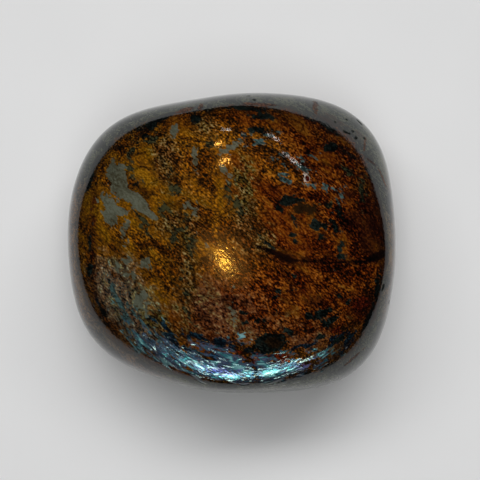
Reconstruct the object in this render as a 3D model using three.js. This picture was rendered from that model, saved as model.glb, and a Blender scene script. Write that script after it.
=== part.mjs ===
// A tumbled bronzite pebble: one solid, cushion-shaped stone, about 28 mm long.
// Millimetres, +Z up. The origin is under the middle of the stone, on the surface that it rests on.
// +X runs along the stone's long side, and +Y across it.
//
// Tumbling wears a cut block of rock into this form. Seen from above it is a rounded square, whose
// widest line (the girdle) has four blunt corners. Seen from the side it is a fat lens. The crown
// above the girdle is flattened like a cushion, and the belly below it ends in a small worn flat.

import * as THREE from "three";
import { mergeVertices } from "three/addons/utils/BufferGeometryUtils.js";

// Radius of the girdle every 20 degrees, anticlockwise from +X.
const GIRDLE_RADII = [
  13.82, 14.36, 15.4, 14.54, 13.1, 12.6, 13.49, 14.66, 14.49,
  14.04, 14.23, 14.14, 13.07, 12.56, 12.67, 14.03, 15.01, 14.32,
];

// Half sizes of the plain oval that the stone's cross-section has near its top and bottom.
const CORE_HALF_LENGTH = 15.0;
const CORE_HALF_WIDTH = 13.1;

// The crown above the girdle and the belly below it: the height to its pole, how square its profile
// is, and the power with which the girdle's own shape fades in on the way out to it.
const CROWN = { height: 7.1, squareness: 2.77, edgePower: 5 };
const BELLY = { height: -6.7, squareness: 2.4, edgePower: 3 };
// How much the tumbler wore off the belly, which leaves the flat that the stone rests on.
const REST_FLAT_DEPTH = 0.3;

// Tumbling wears the corners most. The girdle dips there, in millimetres, and the shoulders above
// and below it are lower there, as a share of the height. Both are more on one diagonal and side.
const GIRDLE_CHANGE = { corner: 0.34, diagonal: 0.12, side: 0.27 };
const SHOULDER_CHANGE = { corner: 0.15, diagonal: 0.11, side: 0.06 };
const DIAGONAL_BEARING = THREE.MathUtils.degToRad(28);
const SIDE_BEARING = THREE.MathUtils.degToRad(37);

// The crown's highest point lies off the middle.
const APEX_SHIFT = new THREE.Vector2(1.4, -0.3);

// Broad, shallow swellings and dents left from the rough block: a height in millimetres, the
// waves across the stone on each axis, and where the wave starts.
const SWELLINGS = [
  { height: 0.07, waves: new THREE.Vector3(3.1, 1.7, 2.3), start: 0.6 },
  { height: 0.05, waves: new THREE.Vector3(-2.2, 4.3, 1.9), start: 2.1 },
  { height: 0.035, waves: new THREE.Vector3(5.3, -3.9, 3.4), start: 4.4 },
  { height: 0.02, waves: new THREE.Vector3(-6.9, -7.6, 5.2), start: 1.2 },
];

// Each side of the starting icosahedron is parted into this many more edges.
const FACET_SPLITS = 20;
const MERGE_DISTANCE = 1e-4;
// A turn smaller than this counts as none, because the ripple below divides by it.
const SMALLEST_TURN = 1e-9;

// The girdle's radius at a bearing: the smooth wave that runs through every listed radius. Each
// radius is weighted by a ripple that is 1 at its own bearing and 0 at all the others.
function girdleRadius(bearing) {
  const count = GIRDLE_RADII.length;
  return GIRDLE_RADII.reduce((sum, radius, index) => {
    const turn = bearing - (2 * Math.PI * index) / count;
    const half = Math.sin(turn / 2);
    if (Math.abs(half) < SMALLEST_TURN) return sum + radius;
    return sum + (radius * Math.sin((count * turn) / 2) * Math.cos(turn / 2)) / (count * half);
  }, 0);
}

// The radius of the plain oval at a bearing.
function coreRadius(bearing) {
  const along = CORE_HALF_WIDTH * Math.cos(bearing);
  const across = CORE_HALF_LENGTH * Math.sin(bearing);
  return (CORE_HALF_LENGTH * CORE_HALF_WIDTH) / Math.hypot(along, across);
}

// How a measure changes round the stone: less at the four corners, on one diagonal and on one side.
function changeRound(bearing, { corner, diagonal, side }) {
  const corners = corner * Math.cos(4 * bearing);
  const diagonals = diagonal * Math.cos(2 * (bearing - DIAGONAL_BEARING));
  return corners - diagonals - side * Math.cos(bearing - SIDE_BEARING);
}

// How far the surface swells out in a direction from the middle of the stone.
function swelling(direction) {
  return SWELLINGS.reduce(
    (sum, { height, waves, start }) => sum + height * Math.sin(waves.dot(direction) + start),
    0,
  );
}

// Moves a point of the unit sphere to the stone's surface. Out from the axis and up, the profile is
// a squared-off quarter circle: out^n + up^n = 1.
function toSurface(direction) {
  const bearing = Math.atan2(direction.y, direction.x);
  const half = direction.z >= 0 ? CROWN : BELLY;
  const power = half.squareness;
  const flatness = Math.hypot(direction.x, direction.y);
  const reach = (flatness ** power + Math.abs(direction.z) ** power) ** (-1 / power);
  const out = reach * flatness;
  const up = reach * Math.abs(direction.z);

  const edge = out ** half.edgePower;
  const core = coreRadius(bearing);
  const radius = core + (girdleRadius(bearing) - core) * edge;
  const level = changeRound(bearing, GIRDLE_CHANGE) * edge;
  const shoulder = changeRound(bearing, SHOULDER_CHANGE) * edge;
  const shift = half === CROWN ? up ** power : 0;
  const swell = swelling(direction);
  const spread = 1 + swell / CORE_HALF_LENGTH;
  return new THREE.Vector3(
    (radius * out * Math.cos(bearing) + APEX_SHIFT.x * shift) * spread,
    (radius * out * Math.sin(bearing) + APEX_SHIFT.y * shift) * spread,
    level + half.height * up * (1 + shoulder + swell / CROWN.height),
  );
}

// The whole stone as one closed faceted shell, with its worn flat at Z = 0.
function stoneGeometry() {
  const ball = new THREE.IcosahedronGeometry(1, FACET_SPLITS);
  ball.deleteAttribute("normal");
  ball.deleteAttribute("uv");
  const geometry = mergeVertices(ball, MERGE_DISTANCE);
  const place = geometry.attributes.position;
  const point = new THREE.Vector3();
  for (let i = 0; i < place.count; i++) {
    point.fromBufferAttribute(place, i).normalize();
    const moved = toSurface(point);
    place.setXYZ(i, moved.x, moved.y, Math.max(moved.z, BELLY.height + REST_FLAT_DEPTH));
  }
  geometry.computeBoundingBox();
  const { min, max } = geometry.boundingBox;
  geometry.translate(-(min.x + max.x) / 2, -(min.y + max.y) / 2, -min.z);
  geometry.computeVertexNormals();
  return geometry;
}

// Polished bronzite: brown enstatite with a half-metallic bronze sheen under a glassy polish.
const polishedBronzite = new THREE.MeshStandardMaterial({
  name: "polished bronzite",
  color: 0x5a3a12,
  roughness: 0.22,
  metalness: 0.35,
});

const stone = new THREE.Mesh(stoneGeometry(), polishedBronzite);
stone.name = "tumbled_bronzite";

const pebble = new THREE.Group();
pebble.add(stone);

export default pebble;
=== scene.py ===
import math
import bpy
import numpy as np
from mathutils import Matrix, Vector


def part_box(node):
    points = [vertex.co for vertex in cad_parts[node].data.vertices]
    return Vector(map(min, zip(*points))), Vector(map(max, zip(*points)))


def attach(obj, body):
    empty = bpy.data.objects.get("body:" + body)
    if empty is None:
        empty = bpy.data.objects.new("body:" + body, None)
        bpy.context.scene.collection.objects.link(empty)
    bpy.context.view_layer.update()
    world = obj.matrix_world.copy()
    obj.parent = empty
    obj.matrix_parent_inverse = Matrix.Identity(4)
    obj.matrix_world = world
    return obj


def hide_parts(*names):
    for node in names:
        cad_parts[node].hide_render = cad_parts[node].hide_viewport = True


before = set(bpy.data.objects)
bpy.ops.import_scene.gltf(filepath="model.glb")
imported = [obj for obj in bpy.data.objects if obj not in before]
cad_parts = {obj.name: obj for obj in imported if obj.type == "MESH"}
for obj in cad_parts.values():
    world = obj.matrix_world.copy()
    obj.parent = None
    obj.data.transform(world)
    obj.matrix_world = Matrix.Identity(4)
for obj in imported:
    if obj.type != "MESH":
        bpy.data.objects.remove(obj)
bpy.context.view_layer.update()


# Camera
# The stone is seen from straight above, with the long side across the picture. The lens is long and
# near, as for a close-up of a pebble, so the shoulders look a little larger than the girdle.

PHOTO_SIDE = 480
MILLIMETRES_A_PIXEL = 0.0854
GIRDLE_LEVEL = 0.0064
CAMERA_HEIGHT = 0.15
CAMERA_OFF_CENTRE = (0.0007, 0.00021)

lens = bpy.data.cameras.new("close_up_lens")
lens.sensor_width = 36.0
seen_width = PHOTO_SIDE * MILLIMETRES_A_PIXEL / 1000
lens.lens = lens.sensor_width * (CAMERA_HEIGHT - GIRDLE_LEVEL) / seen_width
lens.clip_start = 0.01
lens.clip_end = 10.0
camera = bpy.data.objects.new("camera", lens)
camera.location = (*CAMERA_OFF_CENTRE, CAMERA_HEIGHT)
bpy.context.scene.collection.objects.link(camera)
bpy.context.scene.camera = camera
bpy.context.scene.view_settings.view_transform = "Standard"


# Table top
# A plain, matt, pale board under the stone. It is wide enough for the polished rim to mirror it
# right round, up to the line where the rim starts to mirror the dark room.

TABLE_HALF_WIDTH = 0.9
# The paint's blotches are about 17 millimetres wide.
BLOTCHES_A_METRE = 60.0


def linear(code):
    """The linear red, green, blue and alpha of an sRGB hex colour: ((c + 0.055) / 1.055) ^ 2.4."""
    shares = [int(code[i:i + 2], 16) / 255 for i in (1, 3, 5)]
    return tuple(c / 12.92 if c <= 0.04045 else ((c + 0.055) / 1.055) ** 2.4 for c in shares) + (1.0,)


def add(tree, kind, settings=None, links=None, out=0):
    """Adds a node, with its settings, and its inputs linked or set. Gives back one of its outputs."""
    node = tree.nodes.new(kind)
    for name, value in (settings or {}).items():
        if name == "stops":
            ramp = node.color_ramp.elements
            while len(ramp) < len(value):
                ramp.new(0.5)
            for stop, (place, colour) in zip(ramp, value):
                stop.position = place
                stop.color = linear(colour)
        else:
            setattr(node, name, value)
    for name, value in (links or {}).items():
        if isinstance(value, bpy.types.NodeSocket):
            tree.links.new(value, node.inputs[name])
        else:
            node.inputs[name].default_value = value
    return node.outputs[out] if node.outputs else node


def new_material(name):
    """An empty node material and its tree."""
    material = bpy.data.materials.new(name)
    material.use_nodes = True
    material.node_tree.nodes.clear()
    return material, material.node_tree


def matt_white_board():
    """Matt painted board: even and pale, with a faint unevenness of the paint."""
    material, tree = new_material("matt_white_board")
    place = add(tree, "ShaderNodeTexCoord", out="Object")
    blotches = add(tree, "ShaderNodeTexNoise", {}, {
        "Vector": place, "Scale": BLOTCHES_A_METRE, "Detail": 2.0,
    })
    paint = add(tree, "ShaderNodeValToRGB", {
        "stops": [(0.3, "#e6e6e6"), (0.7, "#e9e9e9")],
    }, {"Fac": blotches})
    skin = add(tree, "ShaderNodeBsdfPrincipled", {}, {
        "Base Color": paint, "Roughness": 0.9, "Specular IOR Level": 0.1,
    })
    add(tree, "ShaderNodeOutputMaterial", {}, {"Surface": skin})
    return material


board = bpy.data.meshes.new("table_top")
board.from_pydata([
    (-TABLE_HALF_WIDTH, -TABLE_HALF_WIDTH, 0), (TABLE_HALF_WIDTH, -TABLE_HALF_WIDTH, 0),
    (TABLE_HALF_WIDTH, TABLE_HALF_WIDTH, 0), (-TABLE_HALF_WIDTH, TABLE_HALF_WIDTH, 0),
], [], [(0, 1, 2, 3)])
board.materials.append(matt_white_board())
table_top = bpy.data.objects.new("table_top", board)
bpy.context.scene.collection.objects.link(table_top)


# Lamps and the dark room
# Soft studio light: a wide sheet overhead and a soft key from the back light the board and the
# stone's colour. The polish mirrors the others, which light nothing else, in a dark room.

# Each lamp has its bearing from +X and its elevation in degrees, its distance in metres, its width
# and depth in metres, its power in watts and its colour.
SOFT_LAMPS = {
    "overhead_sheet": (92, 85, 0.8, (0.45, 1.3), 4.0, "#ffffff"),
    "soft_key": (96, 57, 0.6, (0.9, 0.16), 2.35, "#ffffff"),
}
# A shaded bulb above, two bulbs and a faint row of lamps behind, two small windows at the right, and
# a long strip in front.
MIRRORED_LAMPS = {
    "top_bulb": (178, 87.3, 0.5, (0.014, 0.014), 0.024, "#ffc044"),
    "top_bowl": (178, 87.3, 0.505, (0.045, 0.045), 0.014, "#ffb454"),
    "top_shade": (178, 87.3, 0.51, (0.1, 0.1), 0.022, "#ffac50"),
    "back_bulb_high": (104, 70, 0.5, (0.018, 0.01), 0.04, "#ffb850"),
    "back_bulb_low": (104, 61.5, 0.5, (0.03, 0.007), 0.04, "#ffb850"),
    "back_row": (94, 50, 0.5, (0.05, 0.005), 0.014, "#fff0dc"),
    "side_window_high": (58, 47.5, 0.5, (0.026, 0.009), 0.009, "#fff4ee"),
    "side_window_low": (63, 39.5, 0.5, (0.008, 0.026), 0.008, "#fff4ee"),
    "front_strip": (-91, 31.5, 0.4, (0.52, 0.032), 0.9, "#d4fff2"),
}
ROOM_COLOUR = "#1c1d1f"


def lamp(name, mirrored, bearing, elevation, distance, size, power, colour):
    """An area lamp of a width and a depth, at a bearing and an elevation, facing the stone."""
    light = bpy.data.lights.new(name, "AREA")
    light.shape = "ELLIPSE" if mirrored else "RECTANGLE"
    light.size, light.size_y = size
    light.energy = power
    light.color = linear(colour)[:3]
    made = bpy.data.objects.new(name, light)
    turn, rise = math.radians(bearing), math.radians(elevation)
    flat = math.cos(rise) * distance
    made.location = (flat * math.cos(turn), flat * math.sin(turn), math.sin(rise) * distance)
    made.rotation_mode = "QUATERNION"
    made.rotation_quaternion = made.location.to_track_quat("Z", "Y")
    made.visible_glossy = mirrored
    made.visible_diffuse = not mirrored
    bpy.context.scene.collection.objects.link(made)


for name, values in SOFT_LAMPS.items():
    lamp(name, False, *values)
for name, values in MIRRORED_LAMPS.items():
    lamp(name, True, *values)

room = bpy.data.worlds.new("dark_room")
room.use_nodes = True
room.node_tree.nodes["Background"].inputs["Color"].default_value = linear(ROOM_COLOUR)
room.node_tree.nodes["Background"].inputs["Strength"].default_value = 1.0
bpy.context.scene.world = room


# Tumbled bronzite
# One pebble of iron-bearing enstatite, sawn from rock and worn round in a tumbler with finer and
# finer grit, then polished. Its fibrous grain gives a bronze lustre under the glassy polish.

# Radius of the girdle, the stone's widest line, every 20 degrees anticlockwise from +X.
GIRDLE_RADII = np.array([
    13.82, 14.36, 15.4, 14.54, 13.1, 12.6, 13.49, 14.66, 14.49,
    14.04, 14.23, 14.14, 13.07, 12.56, 12.67, 14.03, 15.01, 14.32,
])
# Half sizes of the plain oval that the cross-section has near the top and the bottom.
CORE_HALF_LENGTH = 15.0
CORE_HALF_WIDTH = 13.1
# The height of the crown and the belly, how square each profile is, and the power with which the
# girdle's own shape fades in. The tumbler wore a little off the belly.
CROWN = {"height": 7.1, "squareness": 2.77, "edge_power": 5}
BELLY = {"height": -6.7, "squareness": 2.4, "edge_power": 3}
REST_FLAT_DEPTH = 0.3
# How far the girdle dips, in millimetres, and how much lower the shoulders are, as a share, at the
# corners, on one diagonal and on one side.
GIRDLE_CHANGE = {"corner": 0.34, "diagonal": 0.12, "side": 0.27}
SHOULDER_CHANGE = {"corner": 0.15, "diagonal": 0.11, "side": 0.06}
DIAGONAL_BEARING = math.radians(28)
SIDE_BEARING = math.radians(37)
# How far off the middle the crown's highest point lies.
APEX_SHIFT = (1.4, -0.3)
# Broad, shallow swellings: a height, the waves across the stone on each axis, and the start.
SWELLINGS = [
    (0.07, (3.1, 1.7, 2.3), 0.6),
    (0.05, (-2.2, 4.3, 1.9), 2.1),
    (0.035, (5.3, -3.9, 3.4), 4.4),
    (0.02, (-6.9, -7.6, 5.2), 1.2),
]

# The grid of the skin: its meridians, its rows on the crown and the belly, and how many tilts are
# tried to space those rows evenly.
BEARINGS = 440
CROWN_ROWS = 148
BELLY_ROWS = 64
TRIAL_TILTS = 2000
# Smaller turns and normals count as this small, because lengths are divided by them.
SMALLEST_TURN = 1e-9
SHORTEST_NORMAL = 1e-12


def girdle_radius(bearing):
    """The smooth wave through every girdle radius: each is weighted by sin(n t / 2) cos(t / 2) over
    n sin(t / 2), where t is the turn from its own bearing, which is 1 there and 0 at the others."""
    count = len(GIRDLE_RADII)
    turns = bearing[..., None] - 2 * np.pi * np.arange(count) / count
    half = np.sin(turns / 2)
    at_own = np.abs(half) < SMALLEST_TURN
    ripple = np.sin(count * turns / 2) * np.cos(turns / 2) / np.where(at_own, 1.0, count * half)
    return (GIRDLE_RADII * np.where(at_own, 1.0, ripple)).sum(-1)


def change_round(bearing, corner, diagonal, side):
    """corner cos(4 b) - diagonal cos(2 (b - diagonal bearing)) - side cos(b - side bearing)."""
    lines = corner * np.cos(4 * bearing) - diagonal * np.cos(2 * (bearing - DIAGONAL_BEARING))
    return lines - side * np.cos(bearing - SIDE_BEARING)


def skin(bearing, tilt):
    """The skin at a bearing and a tilt from the top. Out and up follow out^n + up^n = 1, the radius
    and level go from the core oval to the girdle by out^k, and the belly is cut off flat."""
    across, along = np.sin(tilt), np.cos(tilt)
    is_crown = along >= 0
    height, power, edge_power = (np.where(is_crown, CROWN[k], BELLY[k])
                                 for k in ("height", "squareness", "edge_power"))
    reach = (across ** power + np.abs(along) ** power) ** (-1 / power)
    out, up = reach * across, reach * np.abs(along)
    edge = out ** edge_power
    oval = np.hypot(CORE_HALF_WIDTH * np.cos(bearing), CORE_HALF_LENGTH * np.sin(bearing))
    core = CORE_HALF_LENGTH * CORE_HALF_WIDTH / oval
    radius = core + (girdle_radius(bearing) - core) * edge
    shift = np.where(is_crown, up ** power, 0)
    way = np.stack([across * np.cos(bearing), across * np.sin(bearing), along], -1)
    swell = sum(rise * np.sin(way @ np.array(waves) + start) for rise, waves, start in SWELLINGS)
    spread = 1 + swell / CORE_HALF_LENGTH
    fullness = 1 + change_round(bearing, **SHOULDER_CHANGE) * edge + swell / CROWN["height"]
    x = (radius * out * np.cos(bearing) + APEX_SHIFT[0] * shift) * spread
    y = (radius * out * np.sin(bearing) + APEX_SHIFT[1] * shift) * spread
    z = change_round(bearing, **GIRDLE_CHANGE) * edge + height * up * fullness
    return np.stack([x, y, np.maximum(z, BELLY["height"] + REST_FLAT_DEPTH)], -1)


def even_tilts(first, last, count):
    """Tilts from first to last that part the walk over the skin, at bearing 0, into equal steps."""
    trial = np.linspace(first, last, TRIAL_TILTS)
    line = skin(np.zeros_like(trial), trial)
    walked = np.concatenate([[0], np.cumsum(np.linalg.norm(np.diff(line, axis=0), axis=1))])
    return np.interp(np.linspace(0, walked[-1], count + 1), walked, trial)


def walk_over(points):
    """How far each point of the grid is from the crown's top, walked down its own meridian."""
    steps = np.linalg.norm(np.diff(points, axis=1), axis=-1)
    return np.concatenate([np.zeros((len(points), 1)), np.cumsum(steps, axis=1)], axis=1)


quarter_turn = np.pi / 2
crown_tilts = even_tilts(0, quarter_turn, CROWN_ROWS)
belly_tilts = even_tilts(quarter_turn, np.pi, BELLY_ROWS)
tilts = np.concatenate([crown_tilts, belly_tilts[1:]])
bearings = np.linspace(0, 2 * np.pi, BEARINGS, endpoint=False)
bearing_grid, tilt_grid = np.meshgrid(bearings, tilts, indexing="ij")
points = skin(bearing_grid, tilt_grid)

# The chart: how far right and back each point lies from the crown's top, walked over the skin.
walked = walk_over(points)
chart = np.stack([walked * np.cos(bearing_grid), walked * np.sin(bearing_grid)], -1)

# Coordinates that run round the stone, and out over its skin, with their seam at the back.
FILM_RADIUS = 11.0
from_front = (bearing_grid + quarter_turn + np.pi) % (2 * np.pi) - np.pi
around = np.stack([from_front * FILM_RADIUS, walked, np.zeros_like(walked)], -1)

# The stone's marks, by kind. Each is an oval of the chart: how far right and back from the crown's
# top its middle is, its half length and half width in millimetres, and its turn in degrees.
MARKS = {
    # Grey-green grains of feldspar, with sharp edges.
    "slate": [
        (-10.9, 5.9, 1.8, 0.9, -74), (-9.1, 3.9, 1.1, 0.68, -43), (-10.1, 4.7, 0.7, 0.6, -52),
        (-7.9, 2.8, 0.34, 0.2, -45), (-11.8, 4.1, 0.8, 0.35, -53), (-11.4, 2.7, 1.0, 0.55, -80),
        (-10.6, 3.2, 0.75, 0.32, -4), (-10.4, 1.4, 0.6, 0.2, -81), (-10.1, 1.8, 0.3, 0.2, 0),
        (-10.2, -1.1, 0.38, 0.3, 0), (-8.5, -1.3, 0.67, 0.25, -59), (-9.8, -2.3, 0.4, 0.25, 0),
        (-10.9, -1.8, 0.34, 0.15, 90), (-8.9, -4.4, 0.6, 0.36, 63), (-8.4, -4.9, 0.4, 0.16, -84),
        (-5.1, 3.6, 0.34, 0.32, 0), (-4.4, 3.2, 0.37, 0.24, 90), (-4.1, 1.3, 0.57, 0.16, -45),
        (-1.2, -3.0, 0.31, 0.18, 90), (-1.3, -4.6, 0.53, 0.16, -78), (-5.8, 10.1, 0.37, 0.23, 77),
        (-4.2, 7.2, 0.78, 0.22, 90), (-1.9, 6.3, 0.65, 0.31, -64), (-1.4, 8.3, 1.03, 0.12, 30),
    ],
    # Dark olive veins and stains between the grains.
    "olive": [
        (-9.2, 9.5, 0.7, 0.22, 55), (-9.7, 8.4, 0.8, 0.18, 78), (-9.9, 7.1, 0.9, 0.17, 84),
        (-9.8, 6.0, 0.4, 0.16, -50), (-9.3, 5.5, 0.4, 0.3, 0), (-9.2, 3.0, 0.7, 0.28, -60),
        (-8.6, 2.1, 0.8, 0.2, -72), (-7.1, 3.3, 0.5, 0.35, -60), (-5.9, 5.3, 0.6, 0.24, 80),
        (-6.4, 6.2, 0.4, 0.24, 60), (-5.9, 1.5, 1.0, 0.28, 74), (-5.2, 2.4, 0.6, 0.18, -60),
        (-4.6, 0.4, 0.8, 0.2, 80), (-2.9, 8.6, 0.5, 0.2, 70), (-7.6, 9.8, 0.7, 0.25, 35),
        (-5.6, -2.6, 0.7, 0.2, 84), (-5.2, -4.2, 0.6, 0.2, 88), (-4.7, -5.6, 0.5, 0.18, -70),
        (-1.6, 4.9, 0.8, 0.2, 86), (-0.6, 2.9, 0.7, 0.24, -70), (0.4, 1.7, 0.6, 0.2, -50),
        (8.6, 6.4, 0.6, 0.3, -40), (9.6, 4.4, 0.9, 0.3, 80), (6.4, 3.6, 0.4, 0.2, -60),
    ],
    # Blue-green stains of altered grains.
    "teal": [
        (-11.4, -3.5, 0.8, 0.23, -73), (-10.8, -4.7, 0.7, 0.27, -61), (-10.2, -6.3, 0.6, 0.25, -32),
        (-9.4, -5.7, 0.46, 0.15, -49), (-7.2, -7.8, 0.5, 0.3, -60), (-7.8, -8.5, 0.84, 0.42, -50),
        (-9.3, -9.9, 0.45, 0.3, -54), (1.3, 8.9, 0.7, 0.12, 22), (0.0, 9.3, 0.28, 0.2, 0),
        (3.1, 7.6, 0.4, 0.16, 9), (5.0, 7.2, 0.6, 0.13, 4), (3.0, 5.8, 0.24, 0.17, -31),
        (6.2, 4.9, 0.5, 0.14, -11), (7.9, 4.5, 0.4, 0.11, 66), (3.2, 7.0, 0.26, 0.12, 54),
        (4.6, 6.6, 0.3, 0.12, -30), (-3.4, -8.9, 0.9, 0.16, -14), (-5.4, -8.2, 0.8, 0.16, -30),
        (-9.9, -7.6, 0.6, 0.2, -45), (-8.6, -6.6, 0.4, 0.14, -50), (-6.4, -7.6, 0.5, 0.16, -40),
    ],
    # A closed crack across the right, with a dark wedge at its end.
    "crack": [
        (0.9, 0.1, 0.6, 0.12, -22), (1.7, -0.2, 0.8, 0.2, -26), (2.8, -0.7, 0.8, 0.26, -24),
        (4.9, -1.0, 1.6, 0.08, -3), (7.4, -1.1, 1.5, 0.1, 0), (9.0, -1.1, 0.8, 0.14, 0),
        (10.7, -0.7, 1.2, 0.34, 16),
    ],
    # Black-green pyroxene and ore.
    "black": [
        (-3.8, 11.3, 0.5, 0.5, 0), (0.9, 11.9, 1.63, 0.22, -6), (2.0, 11.1, 1.02, 0.28, 0),
        (1.5, 9.8, 0.83, 0.33, -6), (-8.5, 10.0, 0.38, 0.33, 16), (-7.9, 10.7, 0.55, 0.32, 39),
        (-7.4, 11.4, 1.69, 0.4, 26), (7.8, 10.4, 1.09, 0.41, -42), (-9.3, 5.5, 0.3, 0.27, 0),
        (-12.3, -6.0, 0.6, 0.33, -63), (-12.9, 8.1, 2.29, 0.31, 57), (-13.5, 6.3, 1.13, 0.26, 76),
        (-13.3, 0.2, 1.6, 0.15, 88), (-13.4, -2.1, 0.94, 0.3, 81), (3.2, 3.9, 1.1, 0.45, 4),
        (2.4, 3.4, 0.69, 0.32, -51), (5.4, 1.9, 0.46, 0.38, 0), (6.2, 1.8, 0.27, 0.21, -52),
        (7.5, 2.8, 0.72, 0.34, -64), (7.0, 1.7, 0.64, 0.31, -60), (7.7, 1.8, 0.4, 0.19, -77),
        (3.6, 2.5, 0.23, 0.19, 0), (3.9, 2.0, 0.29, 0.13, -44), (3.4, 1.2, 0.29, 0.16, -30),
        (6.0, 1.0, 0.22, 0.12, -16), (5.7, 0.7, 0.2, 0.19, 0), (3.6, 0.6, 0.22, 0.18, 0),
        (1.4, 0.5, 0.31, 0.12, -42), (7.4, -0.6, 0.34, 0.15, 9),
        (7.5, 0.3, 0.21, 0.12, 30), (7.3, -0.2, 0.23, 0.13, -59), (3.7, -2.2, 0.22, 0.15, 0),
        (4.0, -2.7, 0.27, 0.17, -13), (3.5, -3.3, 0.18, 0.14, 0), (2.3, -3.4, 0.22, 0.11, -37),
        (2.1, -3.9, 0.28, 0.23, 0), (2.2, -4.9, 0.18, 0.14, 0), (7.4, -3.8, 0.41, 0.22, -22),
        (7.1, -1.7, 0.32, 0.13, -8), (-0.5, -5.2, 0.24, 0.17, 0), (-0.1, -5.3, 0.17, 0.12, 0),
        (0.8, -5.8, 0.38, 0.2, 33), (1.3, -5.8, 0.21, 0.12, -19), (-0.2, -6.0, 0.27, 0.16, 10),
        (2.0, -7.6, 1.38, 0.85, 7), (0.7, -8.1, 0.7, 0.27, 29), (3.5, -6.7, 0.55, 0.22, -19),
        (4.9, -5.4, 0.36, 0.36, 0), (6.0, -5.2, 0.85, 0.36, 24), (7.0, -5.7, 0.5, 0.32, 35),
        (6.5, -6.1, 0.55, 0.32, -27), (8.2, -4.3, 0.33, 0.2, 85), (4.9, -6.6, 0.31, 0.21, 0),
        (8.0, -7.3, 0.8, 0.2, 26), (6.2, -7.1, 0.28, 0.17, 0),
        (10.4, -5.7, 1.3, 0.35, 72), (10.8, -3.4, 1.31, 0.29, 90), (7.5, 8.3, 0.76, 0.45, 11),
    ],
    # Browner hearts inside two of the black patches.
    "heart": [(2.2, -7.6, 0.7, 0.42, 0), (4.6, 3.2, 1.11, 0.44, -11)],
    # Dark red-brown: beside the crack, and towards the right and left flanks.
    "dusk": [
        (5.6, -1.0, 3.2, 0.25, -2), (2.9, -0.8, 1.2, 0.4, -15), (9.9, 1.8, 2.56, 1.16, 90),
        (11.3, 3.0, 4.88, 0.61, 90), (8.4, 2.1, 1.06, 0.8, 0), (9.5, -4.6, 1.14, 0.83, 0),
        (5.7, -4.4, 0.67, 0.38, -10), (8.4, 4.2, 0.73, 0.42, 0), (-13.1, -0.3, 5.57, 0.28, 90),
        (10.4, -0.6, 0.78, 0.46, 0),
    ],
    # Smooth blood-red grains.
    "red": [
        (9.4, -4.5, 0.75, 0.69, 26), (7.6, -6.5, 0.63, 0.36, 19), (-0.2, -8.5, 0.73, 0.26, -4),
        (0.4, -9.0, 0.6, 0.21, -27), (3.1, -8.8, 0.67, 0.26, 0),
    ],
    # Mauve-brown grain at the lower middle.
    "maroon": [
        (-2.6, -5.2, 3.12, 2.33, -18), (0.2, -6.6, 1.13, 0.66, 0), (-3.4, -7.5, 1.48, 0.61, 0),
        (5.2, -7.4, 1.47, 0.71, 20), (6.9, -8.6, 1.5, 0.8, 28),
    ],
    # The rust-brown half, to the right and below.
    "rust": [
        (7.0, 0.7, 7.5, 6.2, 0), (4.1, -4.1, 7.5, 4.6, 0), (0.8, -4.1, 2.44, 3.27, 0),
        (-1.8, -6.7, 3.26, 1.7, 0), (8.0, 8.5, 6.4, 5.4, 0), (2.2, 3.5, 1.6, 5.5, 20),
        (1.0, 11.2, 5.5, 1.6, -4), (-8.5, -8.6, 2.5, 0.9, -38),
    ],
    # Belts of salt-and-pepper grain.
    "speckle": [
        (-5.1, -2.2, 4.19, 0.57, 90), (-0.4, 3.6, 3.28, 0.82, 90), (1.0, 0.7, 0.97, 0.98, 0),
        (-6.3, 2.2, 1.15, 1.0, 0), (-4.9, 1.1, 1.82, 0.58, 70), (-6.7, 7.6, 1.97, 0.78, 90),
        (-3.1, 10.5, 0.77, 0.69, 0), (-6.8, -6.8, 1.86, 0.74, -27),
    ],
    # Browner stretches of the steep flanks, above and below the girdle, and their black pores and
    # red-brown scars.
    "umber": [
        (-14.5, -1.5, 2.6, 7.5, 8), (-9.0, -12.0, 4.0, 1.6, -38), (15.0, -2.0, 3.0, 7.5, 0),
        (19.0, 6.0, 5.0, 3.0, 70), (-3.0, 21.0, 6.0, 3.0, 0), (-20.0, 5.0, 5.0, 3.0, 85),
        (-15.0, -15.0, 5.0, 3.0, -45), (6.0, -21.0, 6.0, 3.0, 10), (13.0, 18.0, 5.0, 3.0, -35),
    ],
    "pore": [
        (1.3, 13.8, 0.2, 0.12, 0), (1.7, 13.0, 0.2, 0.17, 20), (11.8, 11.5, 0.45, 0.16, -50),
        (10.1, 11.4, 0.18, 0.14, 0), (8.7, 10.9, 0.16, 0.13, 0), (9.5, 9.9, 0.35, 0.16, -20),
        (10.3, 10.1, 0.24, 0.15, 0), (10.4, 9.4, 0.3, 0.15, 40), (9.8, 9.8, 0.2, 0.14, 0),
        (11.4, 9.5, 0.17, 0.13, 0), (11.5, -3.2, 0.3, 0.14, 80), (14.5, -5.1, 0.3, 0.15, 70),
        (13.2, -4.8, 0.2, 0.12, 80),
    ],
    "scar": [
        (7.2, 12.7, 1.15, 0.13, 69), (7.5, 12.7, 1.1, 0.13, 67), (-3.2, 12.6, 0.6, 0.2, 80),
        (11.2, 8.8, 0.8, 0.13, 62), (11.4, 7.2, 0.8, 0.14, -30), (12.5, 5.9, 1.0, 0.14, -68),
        (9.8, -9.4, 1.3, 0.16, 43), (-4.6, 12.4, 0.9, 0.3, 10), (2.0, 12.4, 1.6, 0.2, -4),
    ],
    # A pale ring round the pit, a painted highlight on its rim, and the dark red floor inside it.
    "powder": [(4.88, 5.76, 0.36, 0.27, 90)],
    "pit": [(4.95, 5.66, 0.27, 0.17, 90)],
    # Grain of mixed grey, brown and blue-green at the lower left.
    "mixed": [
        (-10.5, -4.6, 2.27, 3.73, 30), (-8.0, -7.7, 2.3, 1.6, -38), (-10.8, -2.0, 1.38, 1.05, 0),
        (-7.1, -8.5, 1.24, 1.0, -38),
    ],
    # Dark blue-black strokes along the film's upper edge.
    "navy": [
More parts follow.
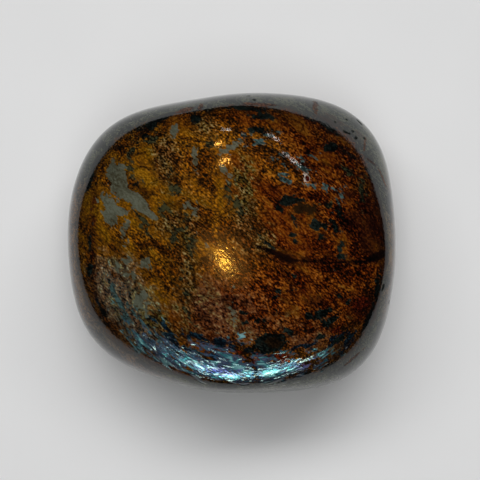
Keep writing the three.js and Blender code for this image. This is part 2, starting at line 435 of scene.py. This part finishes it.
        (-4.2, -7.4, 1.3, 0.22, -16), (-1.9, -7.8, 1.5, 0.26, -8), (0.8, -8.3, 1.4, 0.24, -4),
        (-6.6, -7.0, 0.9, 0.2, -38), (4.9, -7.9, 0.9, 0.2, 8), (7.6, -7.3, 1.2, 0.3, 30),
        (8.8, -7.6, 0.9, 0.3, 60), (-12.4, -5.4, 0.7, 0.24, -62), (-5.6, -8.2, 0.8, 0.2, -30),
    ],
    # The blue-green film that shimmers along the front shoulder, and its violet parts: pale patches
    # where the front strip's glints fall, a painted tint of those glints.
    "film": [
        (-7.6, -8.6, 1.7, 0.65, -38), (-5.6, -9.3, 2.6, 1.25, -23), (-2.4, -9.7, 3.2, 1.8, -5),
        (1.4, -10.1, 3.2, 1.5, 4), (4.2, -10.0, 1.9, 1.0, 14),
    ],
    "violet": [(-1.8, -10.2, 1.1, 0.32, -8), (5.2, -9.6, 0.5, 0.25, 17)],
}
# Fields are kept within this many millimetres of a mark's edge.
FIELD_REACH = 3.0


def inside_oval(right, back, half_length, half_width, turn):
    """How far inside an oval of the chart each point is: (1 - oval distance) times half width."""
    a = math.radians(turn)
    x, y = chart[..., 0] - right, chart[..., 1] - back
    along = (x * math.cos(a) + y * math.sin(a)) / half_length
    across = (y * math.cos(a) - x * math.sin(a)) / half_width
    return (1 - np.hypot(along, across)) * min(half_length, half_width)


def inside_marks(ovals):
    """How far inside the nearest of several ovals each point is, in millimetres, less outside."""
    deepest = np.max([inside_oval(*oval) for oval in ovals], axis=0)
    return np.clip(deepest, -FIELD_REACH, FIELD_REACH)


def closed_grid(name, points):
    """A closed mesh of the grid: quads between the meridians, and a fan of triangles at each pole."""
    count, rows = points.shape[:2]
    ring = points[:, 1:-1].reshape(-1, 3)
    corners = np.concatenate([ring, points[:1, 0], points[:1, -1]])
    inner = rows - 2
    here = np.arange(count)[:, None] * inner + np.arange(inner - 1)[None, :]
    there = (here + inner) % (count * inner)
    quads = np.stack([here, here + 1, there + 1, there], -1).reshape(-1, 4)
    first = np.arange(count) * inner
    nearby = (first + inner) % (count * inner)
    top = np.stack([np.full(count, len(ring)), first, nearby], -1)
    bottom = np.stack([np.full(count, len(ring) + 1), nearby + inner - 1, first + inner - 1], -1)
    mesh = bpy.data.meshes.new(name)
    mesh.from_pydata(corners.tolist(), [], quads.tolist() + top.tolist() + bottom.tolist())
    mesh.shade_smooth()
    return mesh


def levelness(points):
    """How level the skin is: the upright part of its normal, 1 on the crown's top, 0 at the girdle."""
    round_it = np.roll(points, -1, axis=0) - np.roll(points, 1, axis=0)
    down_it = np.gradient(points, axis=1)
    normal = np.cross(down_it, round_it)
    return np.abs(normal[..., 2]) / np.maximum(np.linalg.norm(normal, axis=-1), SHORTEST_NORMAL)


def on_vertices(field):
    """A field of the grid in the order of the mesh's vertices."""
    rings = field[:, 1:-1].reshape(-1, *field.shape[2:])
    return np.concatenate([rings, field[:1, 0], field[:1, -1]]).astype(np.float32)


# A small pit that the tumbler didn't reach the bottom of: its place on the chart and its radius, in
# millimetres, its depth in metres, and how steep its wall is.
PIT = (4.93, 5.68)
PIT_RADIUS = 0.28
PIT_DEPTH = 0.00015
PIT_STEEPNESS = 4

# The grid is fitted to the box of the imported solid, which its flat facets make a hair smaller.
low, high = points.reshape(-1, 3).min(0), points.reshape(-1, 3).max(0)
solid_low, solid_high = (np.array(corner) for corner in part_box("tumbled_bronzite"))
points = solid_low + (points - low) / (high - low) * (solid_high - solid_low)

fields = {name: inside_marks(ovals) for name, ovals in MARKS.items()}
fields["level"] = levelness(points)
from_pit = np.hypot(chart[..., 0] - PIT[0], chart[..., 1] - PIT[1])
points[..., 2] -= PIT_DEPTH * np.exp(-(from_pit / PIT_RADIUS) ** PIT_STEEPNESS)

mesh = closed_grid("polished_stone", points)
for name, field in fields.items():
    mesh.attributes.new(name, "FLOAT", "POINT").data.foreach_set("value", on_vertices(field))
drawn_round = mesh.attributes.new("around", "FLOAT_VECTOR", "POINT")
drawn_round.data.foreach_set("vector", on_vertices(around).ravel())

# Sizes of the rock's grain, in millimetres, each with the detail and the twist of its pattern.
GRAIN = {
    "cloud": (3.2, 2.0, 0.4),
    "mottle": (1.3, 2.0, 0.5),
    "fleck": (0.32, 2.0, 0.5),
    "fibre": (0.14, 1.0, 0.0),
    "seam": (2.6, 3.0, 1.2),
}
# The fibres run this way over the rock, and each is this many times as long as it is wide.
FIBRE_BEARING = -42
FIBRE_LENGTH = 1.7
# The film's strokes and wrinkles, in the same way. Each is this many times as long, round the stone.
FILM_GRAIN = {
    "stroke": (0.34, 3.0, 0.6),
    "wrinkle": (0.45, 1.0, 0.8),
}
FILM_LENGTH = 3.4
# The height of the film's wrinkles, the fibres' ripple and the polish's faint waves, in metres.
FILM_RELIEF = 0.00011
FIBRE_RELIEF = 0.00002
POLISH_RELIEF = 0.000006
# How strongly two of the grains show, where the rock is busiest and where it is plainest.
BUSY = {"fleck": (0.5, 0.25), "fibre": (1.0, 0.5)}
# Half the width of a mark's soft edge, in millimetres, unless it says its own.
SHARP_EDGE = 0.05
# A seam is darkest within the first of these heights from the middle of the seam pattern, and ends
# at the second. The next two are how bright it is there, and how bright the ground is off it.
SEAM_CORE = 0.004
SEAM_EDGE = 0.04
SEAM_SHADE = 0.45
GROUND_SHADE = 1.04
# Painted shade: the skin's colour darkens from the first levelness to the second, towards the flanks,
# to this share, for the dark band inside the rim.
LIT_LEVEL = 0.92
DARK_LEVEL = 0.68
PAINTED_RIM_SHADE_SHARE = 0.1
# The flanks' grey-green is laid by slope: partly the steep skin's colour, partly painted shade of
# the rim. It begins at the first level, made ragged by the grain, and is whole at the second. A share
# of the grain is added to the level.
FLANK_START = 0.89
FLANK_WHOLE = 0.79
FLANK_RAGGEDNESS = 0.3
# How much of the coat a scar has lost.
SCAR_WEAR = 0.6
# The half-metallic share and the roughness under the coat, of bare rock and of the film.
LUSTRE = (0.3, 0.45)
SATIN = (0.35, 0.15)
# The polish: clear, nearly smooth, and a little lower in index than the rock itself.
POLISH_ROUGHNESS = 0.055
POLISH_IOR = 1.56


def polished_bronzite():
    """Tumble-polished bronzite: ochre and rust flecks on near-black brown, with a half-metallic
    bronze lustre from its fibrous grain, under a clear and glassy polish that mirrors the room."""
    material, tree = new_material("polished_bronzite")
    place = add(tree, "ShaderNodeTexCoord", out="Object")
    fibres = add(tree, "ShaderNodeMapping", {"vector_type": "TEXTURE"}, {
        "Vector": place, "Rotation": (0, 0, math.radians(FIBRE_BEARING)), "Scale": (FIBRE_LENGTH, 1, 1),
    })
    grain = {name: add(tree, "ShaderNodeTexNoise", {}, {
        "Vector": fibres, "Scale": 1000 / size, "Detail": detail, "Distortion": twist,
    }) for name, (size, detail, twist) in GRAIN.items()}
    drawn = add(tree, "ShaderNodeMapping", {"vector_type": "TEXTURE"}, {
        "Vector": add(tree, "ShaderNodeAttribute", {"attribute_name": "around"}, out="Vector"),
        "Scale": (FILM_LENGTH, 1, 1),
    })
    grain.update({name: add(tree, "ShaderNodeTexNoise", {}, {
        "Vector": drawn, "Scale": 1 / size, "Detail": detail, "Distortion": twist,
    }) for name, (size, detail, twist) in FILM_GRAIN.items()})

    def mixed(*parts):
        """The middle, 0.5, plus each grain's difference from it times its share."""
        total = 0.5
        for name, share in parts:
            part = add(tree, "ShaderNodeMath", {"operation": "SUBTRACT"}, {0: grain[name], 1: 0.5})
            total = add(tree, "ShaderNodeMath", {"operation": "MULTIPLY_ADD"}, {
                0: part, 1: share, 2: total,
            })
        return total

    def marked(name, edge=SHARP_EDGE, **ragged):
        """The share of a mark: its field, made ragged by each grain, crossing from 0 to 1 at its edge."""
        field = add(tree, "ShaderNodeAttribute", {"attribute_name": name}, out="Fac")
        for pattern, reach in ragged.items():
            rough = add(tree, "ShaderNodeMath", {"operation": "SUBTRACT"}, {0: grain[pattern], 1: 0.5})
            field = add(tree, "ShaderNodeMath", {"operation": "MULTIPLY_ADD"}, {
                0: rough, 1: reach, 2: field,
            })
        return add(tree, "ShaderNodeMapRange", {"interpolation_type": "SMOOTHSTEP"}, {
            "Value": field, "From Min": -edge, "From Max": edge,
        })

    # The grain is finer to the eye where the rock is pale, and coarse and busy where it is dark.
    busy = {name: add(tree, "ShaderNodeMapRange", {"interpolation_type": "SMOOTHSTEP"}, {
        "Value": mixed(("cloud", 1.0), ("mottle", 0.5)), "From Min": 0.42, "From Max": 0.58,
        "To Min": most, "To Max": least,
    }) for name, (most, least) in BUSY.items()}
    plain = mixed(("cloud", 0.35), ("mottle", 0.6), ("fleck", busy["fleck"]), ("fibre", busy["fibre"]))
    fine = mixed(("fleck", 0.3), ("fibre", 1.1))
    streaky = mixed(("mottle", 0.4), ("stroke", 0.6), ("fleck", 0.4), ("fibre", 0.7))
    # Each hue runs from its darkest grains to its palest, by the pattern that it names first.
    ramps = {
        "gold": (plain, [(0.28, "#171004"), (0.38, "#38260b"), (0.46, "#53350a"), (0.53, "#6b4408"),
                         (0.6, "#87560b"), (0.72, "#b87c1a")]),
        "rust": (plain, [(0.3, "#0c0401"), (0.4, "#301303"), (0.47, "#4b1d03"), (0.53, "#643008"),
                         (0.6, "#80450e"), (0.7, "#a66220")]),
        "maroon": (streaky, [(0.3, "#0e0706"), (0.4, "#341d15"), (0.46, "#623614"), (0.51, "#4a342e"),
                             (0.56, "#86501c"), (0.62, "#624e42"), (0.72, "#a08054")]),
        "speckle": (fine, [(0.3, "#0c0a05"), (0.42, "#2e250f"), (0.5, "#563e16"), (0.57, "#70501c"),
                           (0.64, "#706040"), (0.74, "#9a8c62")]),
        "mixed": (streaky, [(0.31, "#0b0b0a"), (0.37, "#22383c"), (0.42, "#623c18"), (0.46, "#38484a"),
                            (0.51, "#865420"), (0.55, "#4e6c6c"), (0.61, "#9c6e2e"), (0.71, "#a4b4aa")]),
        "olive": (plain, [(0.34, "#070906"), (0.5, "#171a10"), (0.66, "#3e3d26")]),
        "slate": (plain, [(0.3, "#3c3828"), (0.5, "#4e4e3e"), (0.7, "#626556")]),
        "teal": (plain, [(0.35, "#1c2828"), (0.5, "#33423f"), (0.65, "#4c6664")]),
        "black": (plain, [(0.3, "#020302"), (0.5, "#080d0b"), (0.7, "#222b26")]),
        "crack": (plain, [(0.4, "#020101"), (0.7, "#1c0a04")]),
        "navy": (streaky, [(0.35, "#020406"), (0.55, "#08121a"), (0.7, "#1c3644")]),
        "heart": (plain, [(0.3, "#0b0602"), (0.7, "#2e1d0c")]),
        "dusk": (plain, [(0.3, "#050101"), (0.5, "#2a0f05"), (0.7, "#5a2a0c")]),
        "red": (plain, [(0.3, "#200602"), (0.5, "#471404"), (0.7, "#7a2c0c")]),
        "film": (mixed(("stroke", 0.85), ("mottle", 0.55)), [
            (0.36, "#070c12"), (0.43, "#1b3040"), (0.46, "#3a6a8e"), (0.49, "#54392e"), (0.52, "#28566e"),
            (0.55, "#6c6884"), (0.58, "#2a5864"), (0.62, "#42828c"), (0.7, "#90c8cc"),
        ]),
        # The flanks' dark grey-green, partly painted shade.
        "flank_grey_and_shade": (plain, [(0.38, "#030504"), (0.5, "#1b241d"), (0.62, "#484a3a")]),
        "umber": (plain, [(0.38, "#080503"), (0.5, "#35261b"), (0.62, "#685038")]),
        "scar": (plain, [(0.35, "#2c1810"), (0.65, "#6a3c28")]),
        # The pale ring of the pit: a painted highlight.
        "powder": (plain, [(0.35, "#7a6050"), (0.6, "#e0d4c8")]),
        "pit": (plain, [(0.35, "#120201"), (0.65, "#4a1008")]),
        # Pale violet of the painted glints.
        "violet": (grain["stroke"], [(0.35, "#2a2a50"), (0.5, "#5c5a9c"), (0.65, "#a8a4e0")]),
    }
    hue = {name: add(tree, "ShaderNodeValToRGB", {"stops": stops}, {"Fac": by})
           for name, (by, stops) in ramps.items()}

    def laid(colour, layers):
        """The colour with each layer's own hue laid over it, by the layer's share."""
        for name, share in layers:
            colour = add(tree, "ShaderNodeMix", {"data_type": "RGBA"}, {
                0: share, 6: colour, 7: hue[name],
            }, out=2)
        return colour

    film = marked("film", 0.4, mottle=5.0, stroke=5.0, fleck=2.0)
    level = add(tree, "ShaderNodeAttribute", {"attribute_name": "level"}, out="Fac")
    ragged_level = add(tree, "ShaderNodeMath", {"operation": "MULTIPLY_ADD"}, {
        0: mixed(("cloud", 1.0), ("mottle", 1.0), ("fleck", 0.5)), 1: FLANK_RAGGEDNESS, 2: level,
    })
    # Painted shade in part: the flanks turn dark grey-green by slope.
    flank_grey_and_shade = add(tree, "ShaderNodeMapRange", {"interpolation_type": "SMOOTHSTEP"}, {
        "Value": ragged_level, "From Min": FLANK_START, "From Max": FLANK_WHOLE,
    })
    # Patches of the ground are cast a little redder or greener.
    cast = add(tree, "ShaderNodeValToRGB", {"stops": [
        (0.36, "#ffdcc4"), (0.45, "#fff4e4"), (0.55, "#fffcf0"), (0.64, "#dce6c8"),
    ]}, {"Fac": mixed(("cloud", 0.6), ("mottle", 1.0), ("fleck", 0.2))})
    # Dark seams run along the grains' edges, where the seam pattern crosses its middle.
    off_seam = add(tree, "ShaderNodeMath", {"operation": "SUBTRACT"}, {0: grain["seam"], 1: 0.5})
    seam = add(tree, "ShaderNodeMapRange", {"interpolation_type": "SMOOTHSTEP"}, {
        "Value": add(tree, "ShaderNodeMath", {"operation": "ABSOLUTE"}, {0: off_seam}),
        "From Min": SEAM_CORE, "From Max": SEAM_EDGE, "To Min": SEAM_SHADE, "To Max": GROUND_SHADE,
    })
    # The zones of the ground come first, and then the marks that lie in it.
    colour = laid(hue["gold"], [
        ("rust", marked("rust", 1.8, cloud=9.0, mottle=4.0, fleck=2.0)),
        ("maroon", marked("maroon", 1.4, mottle=6.0, fleck=5.0)),
        ("mixed", marked("mixed", 0.8, mottle=3.0, fleck=3.0)),
        ("speckle", marked("speckle", 0.5, mottle=2.0, fleck=2.5)),
        ("dusk", marked("dusk", 0.3, mottle=1.0, fleck=1.5)),
    ])
    colour = add(tree, "ShaderNodeVectorMath", {"operation": "MULTIPLY"}, {0: colour, 1: cast})
    colour = add(tree, "ShaderNodeVectorMath", {"operation": "SCALE"}, {"Vector": colour, "Scale": seam})
    colour = laid(colour, [
        ("olive", marked("olive", 0.15, mottle=1.4, fleck=1.8)),
        ("slate", marked("slate", mottle=1.2, fleck=1.2)),
        ("teal", marked("teal", stroke=2.2, fleck=0.8)),
        ("film", film),
        ("navy", marked("navy", 0.1, mottle=0.6, stroke=1.6, fleck=0.6)),
        # Painted glint: pale violet where the front strip's glints fall.
        ("violet", marked("violet", 0.2, mottle=0.8, fleck=1.5)),
        ("red", marked("red", 0.1, mottle=0.8, fleck=1.2)),
        ("black", marked("black", mottle=0.6, fleck=0.8)),
        ("crack", marked("crack", 0.08, mottle=0.2, fleck=0.3)),
        ("heart", marked("heart", 0.15, fleck=1.2)),
        # Painted highlight: the pale ring round the pit.
        ("powder", marked("powder", fleck=0.7)),
        ("pit", marked("pit", fleck=0.2)),
    ])
    # Painted shade: the colour is darkened by slope towards the flanks, for the dark band inside the rim.
    painted_rim_shade = add(tree, "ShaderNodeMapRange", {}, {
        "Value": level, "From Min": DARK_LEVEL, "From Max": LIT_LEVEL, "To Min": PAINTED_RIM_SHADE_SHARE,
        "To Max": 1.0,
    })
    colour = add(tree, "ShaderNodeVectorMath", {"operation": "SCALE"}, {"Vector": colour, "Scale": painted_rim_shade})
    scar = add(tree, "ShaderNodeMath", {"operation": "MULTIPLY"}, {
        0: marked("scar", fleck=0.3), 1: SCAR_WEAR,
    })
    pore = marked("pore", fleck=0.2)
    polished = add(tree, "ShaderNodeMath", {"operation": "SUBTRACT"}, {
        0: add(tree, "ShaderNodeMath", {"operation": "SUBTRACT"}, {0: 1.0, 1: pore}), 1: scar,
    })
    umber = add(tree, "ShaderNodeMath", {"operation": "MULTIPLY"}, {
        0: marked("umber", 1.0, mottle=3.0), 1: flank_grey_and_shade,
    })
    # The flanks' grey-green, laid by slope, is partly painted shade.
    colour = laid(colour, [("flank_grey_and_shade", flank_grey_and_shade), ("umber", umber), ("scar", scar), ("black", pore)])

    lustre, satin = (add(tree, "ShaderNodeMapRange", {}, {
        "Value": film, "To Min": bare, "To Max": filmed,
    }) for bare, filmed in (LUSTRE, SATIN))
    ripple = add(tree, "ShaderNodeBump", {}, {"Distance": FIBRE_RELIEF, "Height": grain["fibre"]})
    orange_peel = mixed(("fleck", 1.0), ("fibre", 0.4))
    polish = add(tree, "ShaderNodeBump", {}, {"Distance": POLISH_RELIEF, "Height": orange_peel})
    wrinkled = add(tree, "ShaderNodeBump", {}, {
        "Strength": film, "Distance": FILM_RELIEF, "Height": grain["wrinkle"], "Normal": polish,
    })
    shader = add(tree, "ShaderNodeBsdfPrincipled", {}, {
        "Base Color": colour, "Metallic": lustre, "Roughness": satin, "Normal": ripple,
        "Specular IOR Level": 0.0, "Coat Weight": polished, "Coat Roughness": POLISH_ROUGHNESS,
        "Coat IOR": POLISH_IOR, "Coat Normal": wrinkled,
    })
    add(tree, "ShaderNodeOutputMaterial", {}, {"Surface": shader})
    return material


mesh.materials.append(polished_bronzite())
stone = bpy.data.objects.new("polished_stone", mesh)
bpy.context.scene.collection.objects.link(stone)
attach(stone, "root")
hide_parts("tumbled_bronzite")
